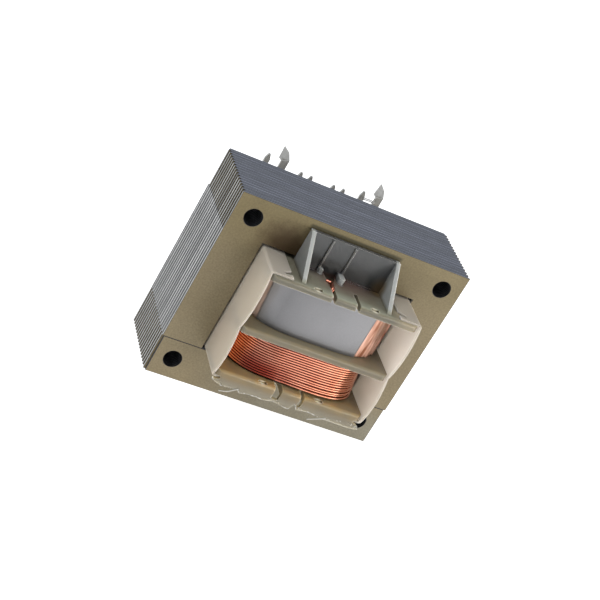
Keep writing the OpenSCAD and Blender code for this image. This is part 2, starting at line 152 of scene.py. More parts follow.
def stray(tree, place, size, reach, detail):
    """A soft random offset: its waves have one size, and it goes half the reach to either side."""
    noise = add(tree, "ShaderNodeTexNoise", {"Vector": place, "Scale": 1 / size, "Detail": detail})
    centred = add(tree, "ShaderNodeVectorMath", {0: noise.outputs["Color"], 1: (0.5, 0.5, 0.5)},
                  operation="SUBTRACT")
    return add(tree, "ShaderNodeVectorMath", {0: centred, "Scale": reach}, operation="SCALE")


def soft_spot(tree, place, middle, size, solid, most=1.0, turn=0.0):
    """Share of a spot: full in the middle of an ellipsoid, falling softly to none at its surface.
    Its middle and its half sizes are in millimetres."""
    spot = {"Vector": place, "Location": Vector(middle) * MM, "Rotation": (0, turn, 0),
            "Scale": Vector(size) * MM}
    at = add(tree, "ShaderNodeMapping", spot, vector_type="TEXTURE")
    radius = add(tree, "ShaderNodeVectorMath", {0: at}, operation="LENGTH")
    return add(tree, "ShaderNodeMapRange",
               {"Value": radius, "From Min": 1.0, "From Max": solid, "To Max": most},
               interpolation_type="SMOOTHSTEP")


def rolled_face(tree, place):
    """Colour of the rolled faces: khaki in soft clouds, darker and yellower high up to the left and paler and
    greyer low to the right, partly a change of tone and partly painted shade and light; brown beside the
    upper pocket as a painted shadow.
    """
    x, y, z = add(tree, "ShaderNodeSeparateXYZ", {0: place}).outputs
    cloud = add(tree, "ShaderNodeTexNoise", {"Vector": place, "Scale": 1 / (9 * MM), "Detail": 4.0})
    plain, yellow, grey = [
        add(tree, "ShaderNodeMix", {"Factor": cloud, "A": dark, "B": light}, data_type="RGBA")
        for dark, light in (("#6a5e44", "#81755a"), ("#5e5335", "#736747"), ("#6b6553", "#827d6d"))]
    # Darker and yellower high up, more so to the left: partly a change of tone, partly painted shade
    high = add(tree, "ShaderNodeMapRange", {"Value": z, "From Min": 24 * MM, "From Max": 38 * MM},
               interpolation_type="SMOOTHSTEP")
    left = add(tree, "ShaderNodeMapRange",
               {"Value": x, "From Min": 9 * MM, "From Max": -6 * MM, "To Min": 0.7})
    khaki = add(tree, "ShaderNodeMix", {"Factor": together(tree, high, left), "A": plain, "B": yellow},
                data_type="RGBA")
    # Paler and greyer low down to the right: partly a change of tone, partly painted light
    low = add(tree, "ShaderNodeMapRange", {"Value": z, "From Min": 9 * MM, "From Max": 3 * MM})
    right = add(tree, "ShaderNodeMapRange", {"Value": x, "From Min": -16 * MM, "From Max": 0.0})
    khaki = add(tree, "ShaderNodeMix", {"Factor": together(tree, low, right), "A": khaki, "B": grey},
                data_type="RGBA")
    speck = add(tree, "ShaderNodeTexNoise", {"Vector": place, "Scale": 1 / (0.35 * MM), "Detail": 3.0})
    speck = add(tree, "ShaderNodeMapRange",
                {"Value": speck, "From Min": 0.3, "From Max": 0.7, "To Min": 0.84, "To Max": 1.16})
    khaki = add(tree, "ShaderNodeVectorMath", {0: khaki, "Scale": speck}, operation="SCALE")

    # Painted shadow of the upper pocket: brown, on the front of the stack beside it, with an uneven edge
    waver = stray(tree, place, 3 * MM, reach=4 * MM, detail=2.0)
    around = add(tree, "ShaderNodeVectorMath", {0: place, 1: waver}, operation="ADD")
    painted_pocket_shadow = soft_spot(tree, around, (-11.4, CORE_LOW.y / MM, 33.4), (8.6, 5, 5.8), solid=0.3, most=0.9)
    khaki = add(tree, "ShaderNodeMix", {"Factor": painted_pocket_shadow, "A": khaki, "B": "#3a2707"}, data_type="RGBA")

    # Painted shadow: a dark band on the steel along the top of the front pocket
    front = add(tree, "ShaderNodeMapRange",
                {"Value": y, "From Min": CORE_LOW.y / 2, "From Max": CORE_LOW.y})
    aside = add(tree, "ShaderNodeMath", {0: x}, operation="ABSOLUTE")
    beside = add(tree, "ShaderNodeMapRange", {"Value": aside, "From Min": 9.9 * MM, "From Max": 9.3 * MM})
    above = add(tree, "ShaderNodeMapRange", {"Value": away_from(tree, z, POCKET_TOP), "From Min": 0.8 * MM,
                                             "From Max": 0.4 * MM, "To Max": 0.8})
    painted_rim_shadow = together(tree, beside, above, front)
    return add(tree, "ShaderNodeMix", {"Factor": painted_rim_shadow, "A": khaki, "B": "#2f2c15"}, data_type="RGBA")


def sheared_edge(tree, place, sideways, leg_tone, yoke_tone, top_tone):
    """Colour of the sheared edges: bare steel in fine streaks, apart for legs, yokes and level edges."""
    z = add(tree, "ShaderNodeSeparateXYZ", {0: place}).outputs["Z"]
    leg_half = CORE_MIDDLE.z - YOKE_TOP
    in_yoke = add(tree, "ShaderNodeMapRange", {"Value": away_from(tree, z, CORE_MIDDLE.z),
                                               "From Min": leg_half - 0.1 * MM, "From Max": leg_half})
    # Painted light: toward the foot the legs are painted paler, as glancing light
    painted_foot_light = add(tree, "ShaderNodeMapRange",
               {"Value": z, "From Min": CORE_MIDDLE.z, "From Max": YOKE_TOP, "To Max": 0.4})
    leg = add(tree, "ShaderNodeMix", {"Factor": painted_foot_light, "A": leg_tone, "B": "#80807e"}, data_type="RGBA")
    side = add(tree, "ShaderNodeMix", {"Factor": in_yoke, "A": leg, "B": yoke_tone}, data_type="RGBA")
    # Level edges, which look up and down, take a darker blue-grey tone: painted shade and a painted
    # reflection of the sky
    tone = add(tree, "ShaderNodeMix", {"Factor": sideways, "A": top_tone, "B": side}, data_type="RGBA")

    # Streaks that are drawn out along the edge of each sheet
    along = add(tree, "ShaderNodeMapping", {"Vector": place, "Scale": (0.06, 1.0, 0.06)})
    streak = add(tree, "ShaderNodeTexNoise", {"Vector": along, "Scale": 1 / (0.35 * MM), "Detail": 2.0})
    streak = add(tree, "ShaderNodeMapRange",
                 {"Value": streak, "From Min": 0.3, "From Max": 0.7, "To Min": 0.75, "To Max": 1.2})
    return add(tree, "ShaderNodeVectorMath", {0: tone, "Scale": streak}, operation="SCALE")


def painted_hole_shade(tree, place):
    """1 inside the mounting holes, 0 elsewhere: distance from an axis, in a folded quarter of the core."""
    inside = 1.005 * HOLE_RADIUS
    outside = 1.03 * HOLE_RADIUS
    at = add(tree, "ShaderNodeVectorMath", {0: place, 1: CORE_MIDDLE}, operation="SUBTRACT")
    at = add(tree, "ShaderNodeVectorMath", {0: at}, operation="ABSOLUTE")
    at = add(tree, "ShaderNodeVectorMath", {0: at, 1: HOLE_PLACE}, operation="SUBTRACT")
    at = add(tree, "ShaderNodeVectorMath", {0: at, 1: (1, 0, 1)}, operation="MULTIPLY")
    radius = add(tree, "ShaderNodeVectorMath", {0: at}, operation="LENGTH")
    return add(tree, "ShaderNodeMapRange", {"Value": radius, "From Min": outside, "From Max": inside})


def varnished_steel(name, leg_tone, yoke_tone, top_tone):
    """Punched electrical steel under thin varnish: khaki rolled faces, bare sheared edges, and mounting holes
    whose walls are painted near black as shade.
    """
    material, tree, shader, place = start_material(name, Metallic=0.25, Roughness=0.5)
    normal = add(tree, "ShaderNodeNewGeometry").outputs["Normal"]
    facing = add(tree, "ShaderNodeVectorMath", {0: normal}, operation="ABSOLUTE")
    facing = add(tree, "ShaderNodeSeparateXYZ", {0: facing})
    is_edge = add(tree, "ShaderNodeMapRange",
                  {"Value": facing.outputs["Y"], "From Min": 0.8, "From Max": 0.6})
    rolled = rolled_face(tree, place)
    sheared = sheared_edge(tree, place, facing.outputs["X"], leg_tone, yoke_tone, top_tone)
    colour = add(tree, "ShaderNodeMix", {"Factor": is_edge, "A": rolled, "B": sheared}, data_type="RGBA")
    # Painted shade: the walls of the mounting holes are near black
    colour = add(tree, "ShaderNodeMix", {"Factor": painted_hole_shade(tree, place), "A": colour, "B": "#0d0d0f"},
                 data_type="RGBA")
    grain = add(tree, "ShaderNodeTexNoise", {"Vector": place, "Scale": 1 / (0.4 * MM), "Detail": 3.0})
    end_material(tree, shader, colour, grain, strength=0.15, depth=0.02 * MM)
    return material


def sheet_gap():
    """Bevelled edges of the laminations, between one sheet and the next: near black."""
    material, tree, shader, place = start_material("near_black_sheet_edges", Roughness=0.6)
    end_material(tree, shader, clouds(tree, place, 1.5 * MM, "#1b1b1e", "#3a3a3e"))
    return material


def pocket_shares(tree, x, y, z):
    """How far a spot is in the thin walls past the outer flanges, and how far it backs on the core."""
    thin = add(tree, "ShaderNodeMapRange",
               {"Value": z, "From Min": POCKET_FLOOR, "From Max": POCKET_FLOOR + 0.8 * MM})
    height = away_from(tree, z, CORE_MIDDLE.z)
    past_flange = add(tree, "ShaderNodeMapRange",
                      {"Value": height, "From Min": 10.5 * MM, "From Max": 11.2 * MM, "To Max": 0.95})
    aside = add(tree, "ShaderNodeMath", {0: x}, operation="ABSOLUTE")
    between_cheeks = add(tree, "ShaderNodeMapRange",
                         {"Value": aside, "From Min": 8.7 * MM, "From Max": 8.3 * MM})
    depth = add(tree, "ShaderNodeMath", {0: y}, operation="ABSOLUTE")
    near_core = add(tree, "ShaderNodeMapRange", {"Value": depth, "From Min": 12 * MM, "From Max": 9.6 * MM},
                    interpolation_type="SMOOTHSTEP")
    return thin, together(tree, near_core, past_flange, between_cheeks)


def painted_light_through(tree, x, low):
    """Painted light: a gain that makes paler the faces that light would come through: floors, the low ones
    most, and walls that look inwards.
    """
    normal = add(tree, "ShaderNodeNewGeometry").outputs["Normal"]
    facing = add(tree, "ShaderNodeSeparateXYZ", {0: normal})
    gain = add(tree, "ShaderNodeMapRange", {"Value": low, "To Min": 0.85, "To Max": 1.05})
    upward = add(tree, "ShaderNodeMapRange", {"Value": facing.outputs["Z"]})
    side = add(tree, "ShaderNodeMath", {0: x}, operation="SIGN")
    inward = add(tree, "ShaderNodeMapRange", {"Value": together(tree, facing.outputs["X"], side),
                                              "From Max": -1.0, "To Min": 1.0, "To Max": 1.5})
    return add(tree, "ShaderNodeMath", {0: upward, 1: gain, 2: inward}, operation="MULTIPLY_ADD")


def natural_nylon(name, cool, amber, thin_tone, dark):
    """Undyed moulded nylon: milky, grey in thin walls, amber beside copper, and dark where it backs on steel,
    partly the steel seen through it and partly painted shade; some faces and spots carry painted light.
    """
    material, tree, shader, place = start_material(
        name, Roughness=0.22, IOR=1.53, Subsurface_Weight=0.9, Subsurface_Scale=1.6 * MM,
        Subsurface_Radius=(1.0, 0.95, 0.85))
    x, y, z = add(tree, "ShaderNodeSeparateXYZ", {0: place}).outputs

    # Amber grows downwards, beside the copper; below the lip's height the broken plastic has a duller tone
    lip_height = 7.5 * MM
    cloud = add(tree, "ShaderNodeTexNoise", {"Vector": place, "Scale": 1 / (3.5 * MM), "Detail": 3.0})
    low = add(tree, "ShaderNodeMapRange", {"Value": z, "From Min": 24 * MM, "From Max": 10 * MM})
    drift = add(tree, "ShaderNodeMapRange",
                {"Value": cloud, "From Min": 0.35, "From Max": 0.65, "To Min": 0.55, "To Max": 1.0})
    above_lip = add(tree, "ShaderNodeMapRange",
                    {"Value": z, "From Min": lip_height, "From Max": lip_height + 1.5 * MM, "To Min": 0.15})
    warmth = together(tree, low, drift, above_lip)
    milk = add(tree, "ShaderNodeMix", {"Factor": warmth, "A": cool, "B": amber}, data_type="RGBA")
    lip = add(tree, "ShaderNodeMapRange",
              {"Value": z, "From Min": lip_height + 1.4 * MM, "From Max": lip_height, "To Max": 0.75})
    milk = add(tree, "ShaderNodeMix", {"Factor": lip, "A": milk, "B": "#847d6a"}, data_type="RGBA")

    # Thin walls of the pocket, and the stretch of them that backs on the core: dark, partly the steel seen
    # through them and partly painted shade, a little lighter towards the top of the wall
    thin, backing_and_shade = pocket_shares(tree, x, y, z)
    walls = add(tree, "ShaderNodeMix", {"Factor": thin, "A": milk, "B": thin_tone}, data_type="RGBA")
    painted_wall_light = add(tree, "ShaderNodeMapRange",
                  {"Value": z, "From Min": 32.5 * MM, "From Max": 37.5 * MM, "To Max": 0.15})
    wall = add(tree, "ShaderNodeMix", {"Factor": painted_wall_light, "A": dark, "B": thin_tone}, data_type="RGBA")
    colour = add(tree, "ShaderNodeMix", {"Factor": backing_and_shade, "A": walls, "B": wall}, data_type="RGBA")

    # Spots of the front, each with its tone, middle, half sizes and the share of it that is solid
    # Copper seen through the floor, darkened as painted shade at the back of the pocket
    copper_and_shade_behind_floor = ("#46312a", (1, -10.5, 31.2), (9.5, 5.5, 0.8), 0.1)
    # Painted light along the front edge of the upper flange's floor
    painted_light_floor_edge = ("#7b7e6f", (0, -17.2, 31.5), (16, 3, 0.55), 0.4)
    # Darker brown in the corner between the pocket wall and the right cheek
    brown_corner_patch = ("#5a4a30", (8.2, -9.5, 32.2), (2.6, 2.5, 3), 0.1)
    # Painted light on the top of the upper flange's right end
    painted_light_flange_end = ("#8a7f68", (14, -14, 30.6), (5.5, 7, 2), 0.4)
    thick_tongue = (thin_tone, (-0.25, -11, 31.9), (1.1, 1.9, 1.1), 0.6)
    thick_peg = (thin_tone, (-4.2, -10, 31.8), (0.8, 0.9, 0.9), 0.6)
    # Painted highlights at the recesses in the front flanges
    lit_recesses = [("#d3ccb6", (recess_x, -16.7, recess_z), (1.1, 0.7, 0.6), 0.5)
                    for recess_x in (-5.9, 5.9) for recess_z in (10, 31.2)]
    for tone, middle, size, solid in (copper_and_shade_behind_floor, painted_light_floor_edge, brown_corner_patch,
                                      painted_light_flange_end, thick_tongue, thick_peg, *lit_recesses):
        share = soft_spot(tree, place, middle, size, solid, most=0.8)
        colour = add(tree, "ShaderNodeMix", {"Factor": share, "A": colour, "B": tone}, data_type="RGBA")
    # Painted light through the plastic, by the way each face looks
    gain = painted_light_through(tree, x, low)
    colour = add(tree, "ShaderNodeVectorMath", {0: colour, "Scale": gain}, operation="SCALE")
    end_material(tree, shader, colour, cloud, strength=0.5, depth=0.25 * MM)
    return material


def whitened_nylon():
    """Nylon that was bent until it broke: clouded white, a little clear, with sharp lights."""
    material, tree, shader, place = start_material("whitened_nylon", Roughness=0.2, IOR=1.53, Alpha=0.9)
    end_material(tree, shader, clouds(tree, place, 0.8 * MM, "#908c80", "#cfccc3", detail=3.0))
    return material


def cream_polypropylene():
    """Folded polypropylene sheet: cream, satin, and it lets light through; its lids, cut edges and inner
    faces carry painted light and shade.
    """
    material, tree, shader, place = start_material(
        "cream_polypropylene", Roughness=0.42, IOR=1.49, Subsurface_Weight=1.0, Subsurface_Scale=1.5 * MM,
        Subsurface_Radius=(1.0, 0.98, 0.95))
    sheet = clouds(tree, place, 6 * MM, "#a09788", "#aba396", detail=3.0)

    # Painted light and shade: lids, which look up, are painted paler, and the cut edges, which look to the
    # front, painted darker
    normal = add(tree, "ShaderNodeNewGeometry").outputs["Normal"]
    facing = add(tree, "ShaderNodeSeparateXYZ", {0: normal})
    painted_lid_light = add(tree, "ShaderNodeMapRange", {"Value": facing.outputs["Z"], "From Min": 0.3, "From Max": 0.9})
    sheet = add(tree, "ShaderNodeMix", {"Factor": painted_lid_light, "A": sheet, "B": "#b5ac9e"}, data_type="RGBA")
    cut = add(tree, "ShaderNodeMapRange",
              {"Value": facing.outputs["Y"], "From Min": -0.3, "From Max": -0.9})
    sheet = add(tree, "ShaderNodeMix", {"Factor": cut, "A": sheet, "B": "#958d80"}, data_type="RGBA")

    # Painted light: inner faces, which look at the middle of the core, are painted palest, paler higher up,
    # standing in for light that comes through the sheet
    outwards = add(tree, "ShaderNodeVectorMath", {0: normal, 1: place}, operation="MULTIPLY")
    outwards = add(tree, "ShaderNodeSeparateXYZ", {0: outwards}).outputs["X"]
    inner = add(tree, "ShaderNodeMapRange", {"Value": outwards, "From Min": 0.0, "From Max": -10 * MM})
    z = add(tree, "ShaderNodeSeparateXYZ", {0: place}).outputs["Z"]
    high = add(tree, "ShaderNodeMapRange", {"Value": z, "From Min": 12 * MM, "From Max": 22 * MM})
    lit = add(tree, "ShaderNodeMix", {"Factor": high, "A": "#b8b1a7", "B": "#cbc4bb"}, data_type="RGBA")
    colour = add(tree, "ShaderNodeMix", {"Factor": inner, "A": sheet, "B": lit}, data_type="RGBA")
    fine = add(tree, "ShaderNodeTexNoise", {"Vector": place, "Scale": 1 / (0.3 * MM)})
    end_material(tree, shader, colour, fine, strength=0.1, depth=0.01 * MM)
    return material


def enamelled_copper():
    """Magnet wire: drawn copper under clear enamel, painted pale at the right front as light, darker to the
    left and dark red low at the left as shade and dark reflection, with a painted highlight at its far left
    end.
    """
    material, tree, shader, place = start_material("enamelled_copper", Metallic=1.0, Roughness=0.24,
                                                   Coat_Weight=0.3, Coat_Roughness=0.15)
    x = add(tree, "ShaderNodeSeparateXYZ", {0: place}).outputs["X"]
    deep = clouds(tree, place, 3 * MM, "#ac644d", "#cc8d76")
    pale = clouds(tree, place, 3 * MM, "#c47759", "#e4a68a")
    # Painted shade to the left, painted light to the right front
    right = add(tree, "ShaderNodeMapRange", {"Value": x, "From Min": -3 * MM, "From Max": 9 * MM},
                interpolation_type="SMOOTHSTEP")
    copper = add(tree, "ShaderNodeMix", {"Factor": right, "A": deep, "B": pale}, data_type="RGBA")
    # Painted highlight at the far left end of the winding
    painted_light_left_end = add(tree, "ShaderNodeMapRange", {"Value": x, "From Min": -9.5 * MM, "From Max": -12.5 * MM})
    copper = add(tree, "ShaderNodeMix", {"Factor": painted_light_left_end, "A": copper, "B": "#ff9258"}, data_type="RGBA")
    # Painted shade and dark reflection low at the left of the winding
    dark = soft_spot(tree, place, (-7.2, -15, 11.4), (9, 5, 3.6), solid=0.1, most=0.85, turn=0.14)
    copper = add(tree, "ShaderNodeMix", {"Factor": dark, "A": copper, "B": "#8c200a"}, data_type="RGBA")
    end_material(tree, shader, copper)
    return material


def shaded_copper():
    """Inner layers of a winding, seen only between turns: painted dark red, near black, as the shade between
    turns.
    """
    material, tree, shader, place = start_material("inner_copper_layers", Metallic=0.6, Roughness=0.6)
    end_material(tree, shader, clouds(tree, place, 1 * MM, "#280b05", "#4a1a0f"))
    return material


def fine_copper_layer():
    """Hair-thin primary wire, wound side by side: level lines, drawn coarser than the wire so they show."""
    line_pitch = 0.4 * MM
    wave_length_at_scale_1 = math.pi / 10
    material, tree, shader, place = start_material("fine_copper_layer", Metallic=0.5, Roughness=0.38,
                                                   Coat_Weight=0.6, Coat_Roughness=0.1)
    lines = add(tree, "ShaderNodeTexWave",
                {"Vector": place, "Scale": wave_length_at_scale_1 / line_pitch, "Distortion": 0.5},
                bands_direction="Z")
    ridges = clouds(tree, place, 2 * MM, "#c98365", "#eab9a2", detail=3.0)
    colour = add(tree, "ShaderNodeMix", {"Factor": lines, "A": "#b0694e", "B": ridges}, data_type="RGBA")
    end_material(tree, shader, colour, lines, strength=0.4, depth=0.05 * MM)
    return material


def clear_tape(name, tint, light, cover):
    """Polyester winding tape: clear, faintly brown, browner and darker at its upper right, with a hard gloss,
    and upright streaks of paler and browner tint that paint the highlights and shade of its wrinkles and
    folds.
    """
    material, tree, shader, place = start_material(name, Roughness=0.1, IOR=1.58, Alpha=cover)
    # Painted highlights and shade: upright streaks of paler and browner tint
    upright = add(tree, "ShaderNodeMapping", {"Vector": place, "Scale": (1.0, 1.0, 0.15)})
    painted_highlight_streaks = add(tree, "ShaderNodeTexNoise", {"Vector": upright, "Scale": 1 / (0.7 * MM), "Detail": 2.0})
    painted_highlight_streaks = add(tree, "ShaderNodeMapRange", {"Value": painted_highlight_streaks, "From Min": 0.35, "From Max": 0.65})
    colour = add(tree, "ShaderNodeMix", {"Factor": painted_highlight_streaks, "A": tint, "B": light}, data_type="RGBA")
    # Darker and browner at the upper right of the folds
    darker_upper_right = soft_spot(tree, place, (11.4, -13.4, 26.8), (2.1, 3, 4.5), solid=0.3, most=0.85)
    colour = add(tree, "ShaderNodeMix", {"Factor": darker_upper_right, "A": colour, "B": "#856048"}, data_type="RGBA")
    end_material(tree, shader, colour)
    return material


def silver_label():
    """Bare silver-grey label stock: fine tooth under a satin lacquer, painted brighter to both ends as light.
    """
    material, tree, shader, place = start_material("silver_label_stock", Metallic=0.35, Roughness=0.4)
    x = add(tree, "ShaderNodeSeparateXYZ", {0: place}).outputs["X"]
    tooth = add(tree, "ShaderNodeTexNoise", {"Vector": place, "Scale": 1 / (0.25 * MM), "Detail": 4.0})
    base = clouds(tree, place, 5 * MM, "#656567", "#78787a")
    stock = add(tree, "ShaderNodeMix", {"Factor": tooth, "A": base, "B": "#78787a"}, data_type="RGBA")
    # Painted light: brighter towards the right end, and again at the left end
    painted_light_gain = add(tree, "ShaderNodeMapRange", {"Value": x, "From Min": LABEL_LOW.x, "From Max": LABEL_HIGH.x,
                                            "To Min": 0.85, "To Max": 1.4})
    painted_light_left_end = add(tree, "ShaderNodeMapRange",
                   {"Value": x, "From Min": -9 * MM, "From Max": -11.5 * MM, "To Max": 0.5})
    gain = add(tree, "ShaderNodeMath", {0: painted_light_gain, 1: painted_light_left_end}, operation="ADD")
    colour = add(tree, "ShaderNodeVectorMath", {0: stock, "Scale": gain}, operation="SCALE")
    end_material(tree, shader, colour, tooth, strength=0.15, depth=0.02 * MM)
    return material


def bright_tin(name, dull, light):
    """Hot tin on punched brass, and solder: bright, a little uneven."""
    material, tree, shader, place = start_material(name, Metallic=0.35, Roughness=0.4)
    flow = add(tree, "ShaderNodeTexNoise", {"Vector": place, "Scale": 1 / (0.8 * MM), "Detail": 3.0})
    colour = add(tree, "ShaderNodeMix", {"Factor": flow, "A": dull, "B": light}, data_type="RGBA")
    end_material(tree, shader, colour, flow, strength=0.4, depth=0.1 * MM)
    return material


def pale_floor():
    """White light table: matte, and lit from below so that the object is lit from under its front."""
    material, tree, shader, place = start_material("light_table", Roughness=0.9, Emission_Strength=0.8,
                                                   Emission_Color="#ffffff")
    cloud_size = 1000 / 3 * MM
    end_material(tree, shader, clouds(tree, place, cloud_size, "#f4f4f3", "#f8f8f7"))
    return material


def soften(node, width, materials, angle=30):
    """Gives a solid its materials and a small bevel; the last material is that of the bevelled edges."""
    solid = NODES[node]
    solid.data.materials.clear()
    for material in materials:
        solid.data.materials.append(material)
    weld = solid.modifiers.new("weld", "WELD")
    weld.merge_threshold = 0.001 * MM
    bevel = solid.modifiers.new("bevel", "BEVEL")
    bevel.width = width
    bevel.segments = 2
    bevel.limit_method = "ANGLE"
    bevel.angle_limit = math.radians(angle)
    bevel.material = len(materials) - 1


def place_piece(name, mesh, replaced=()):
    """Puts a finished mesh in the scene as a piece of the object."""
    piece = bpy.data.objects.new(name, mesh)
    bpy.context.scene.collection.objects.link(piece)
    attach(piece, BODY)
    if replaced:
        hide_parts(*replaced)
    return piece


def lay_sheet(name, rows, material, thickness, replaced=(), closed=False):
    """A thin sheet through rows of points that run around a winding, placed, with its thickness inwards."""
    count = len(rows[0])
    faces = []
    for r in range(len(rows) - 1):
        for k in range(count if closed else count - 1):
            here = r * count + k
            there = r * count + (k + 1) % count
            faces.append((here, there, there + count, here + count))
    mesh = bpy.data.meshes.new(name)
    mesh.from_pydata([point for row in rows for point in row], [], faces)
    mesh.polygons.foreach_set("use_smooth", [True] * len(faces))
    mesh.materials.append(material)
    wall = place_piece(name, mesh, replaced).modifiers.new("thickness", "SOLIDIFY")
    wall.thickness = thickness
    wall.offset = -1


def geometry_tree(name, sizes):
    """A new geometry node tree with named inputs; returns it and its inputs."""
    tree = bpy.data.node_groups.new(name, "GeometryNodeTree")
    for label, kind in sizes.items():
        tree.interface.new_socket(label, in_out="INPUT", socket_type="NodeSocket" + kind)
    tree.interface.new_socket("Made", in_out="OUTPUT", socket_type="NodeSocketGeometry")
    return tree, tree.nodes.new("NodeGroupInput").outputs


def end_tree(tree, geometry, material):
    """Ends a tree in real geometry with its material."""
    smooth = add(tree, "GeometryNodeSetShadeSmooth", {0: geometry})
    real = add(tree, "GeometryNodeRealizeInstances", {0: smooth})
    painted = add(tree, "GeometryNodeSetMaterial", {"Geometry": real, "Material": material})
    add(tree, "NodeGroupOutput", {0: painted})


def grow(name, tree, sizes, start=None):
    """Runs a geometry tree once and returns what it makes as a plain mesh."""
    holder = bpy.data.objects.new(name, start or bpy.data.meshes.new(name))
    bpy.context.scene.collection.objects.link(holder)
    modifier = holder.modifiers.new("grow", "NODES")
    modifier.node_group = tree
    for item in tree.interface.items_tree:
        if item.name in sizes:
            modifier[item.identifier] = sizes[item.name]
    mesh = bpy.data.meshes.new_from_object(holder.evaluated_get(bpy.context.evaluated_depsgraph_get()))
    bpy.data.objects.remove(holder)
    return mesh


def path_mesh(name, paths):
    """Edges along one or more rows of points, for a tree to follow."""
    points = []
    edges = []
    for path in paths:
        edges += [(len(points) + k, len(points) + k + 1) for k in range(len(path) - 1)]
        points += path
    mesh = bpy.data.meshes.new(name)
    mesh.from_pydata(points, edges, [])
    return mesh


def tube(tree, path, radius):
    """Round wire of one radius along a curve."""
    section = add(tree, "GeometryNodeCurvePrimitiveCircle", {"Resolution": 10, "Radius": radius})
    return add(tree, "GeometryNodeCurveToMesh",
               {"Curve": path, "Profile Curve": section, "Fill Caps": True})


def wound_wire_tree(material):
    """One wire wound in level turns around a superellipse; its low turns bulge out to the right front."""
    tree, given = geometry_tree("wound_wire", {
        "Turns": "Int", "Steps": "Int", "Pitch": "Float", "Half X": "Float", "Half Y": "Float",
        "Power": "Float", "Wire Radius": "Float", "Low Z": "Float", "Slack": "Float", "Bulge": "Float",
        "Seed": "Int"})
    count = add(tree, "ShaderNodeMath", {0: given["Turns"], 1: given["Steps"]}, operation="MULTIPLY")
    line = add(tree, "GeometryNodeMeshLine", {"Count": count, "Offset": (0, 0, MM)})
    index = add(tree, "GeometryNodeInputIndex")
    turned = add(tree, "ShaderNodeMath", {0: index, 1: given["Steps"]}, operation="DIVIDE")
    angle = add(tree, "ShaderNodeMath", {0: turned, 1: math.tau}, operation="MULTIPLY")
    exponent = add(tree, "ShaderNodeMath", {0: 2.0, 1: given["Power"]}, operation="DIVIDE")
    across = []
    for wave, half in (("COSINE", "Half X"), ("SINE", "Half Y")):
        value = add(tree, "ShaderNodeMath", {0: angle}, operation=wave)
        size = add(tree, "ShaderNodeMath", {0: value}, operation="ABSOLUTE")
        size = add(tree, "ShaderNodeMath", {0: size, 1: exponent}, operation="POWER")
        sign = add(tree, "ShaderNodeMath", {0: value}, operation="SIGN")
        across.append(together(tree, size, sign, given[half]))
    height = add(tree, "ShaderNodeMath", {0: turned, 1: given["Pitch"], 2: given["Low Z"]},
                 operation="MULTIPLY_ADD")
    x, y = across
    spot = add(tree, "ShaderNodeCombineXYZ", {"X": x, "Y": y, "Z": height})

    # The outward bulge of each turn: its own share, more for low turns, to the right front
    turn = add(tree, "ShaderNodeMath", {0: turned}, operation="FLOOR")
    share = add(tree, "FunctionNodeRandomValue",
                {"Min": 0.6, "Max": 1.0, "ID": turn, "Seed": given["Seed"]})
    lowness = add(tree, "ShaderNodeMapRange", {"Value": turned, "From Min": 10.0, "From Max": 0.0})
    right = add(tree, "ShaderNodeMapRange", {"Value": x, "From Min": -8 * MM, "From Max": 6 * MM},
                interpolation_type="SMOOTHSTEP")
    front = add(tree, "ShaderNodeMapRange", {"Value": y, "From Min": -4 * MM, "From Max": -12 * MM},
                interpolation_type="SMOOTHSTEP")
    bulge = together(tree, share, given["Bulge"], lowness, right, front)
    outwards = add(tree, "ShaderNodeVectorMath", {0: spot, 1: (1, 1, 0)}, operation="MULTIPLY")
    outwards = add(tree, "ShaderNodeVectorMath", {0: outwards}, operation="NORMALIZE")
    outwards = add(tree, "ShaderNodeVectorMath", {0: outwards, "Scale": bulge}, operation="SCALE")
    aside = stray(tree, spot, 9 * MM, given["Slack"], detail=1.0)
    offset = add(tree, "ShaderNodeVectorMath", {0: outwards, 1: aside}, operation="ADD")
    laid = add(tree, "GeometryNodeSetPosition", {"Geometry": line, "Position": spot, "Offset": offset})
    path = add(tree, "GeometryNodeMeshToCurve", {"Mesh": laid})
    end_tree(tree, tube(tree, path, given["Wire Radius"]), material)
    return tree


def round_wire_tree(material):
    """Round wire along rows of points, with rounded bends."""
    tree, given = geometry_tree("round_wire", {"Path": "Geometry", "Wire Radius": "Float", "Bend": "Float"})
    path = add(tree, "GeometryNodeMeshToCurve", {"Mesh": given["Path"]})
    bent = add(tree, "GeometryNodeFilletCurve",
               {"Curve": path, "Radius": given["Bend"], "Count": 5, "Limit Radius": True}, mode="POLY")
    end_tree(tree, tube(tree, bent, given["Wire Radius"]), material)
    return tree


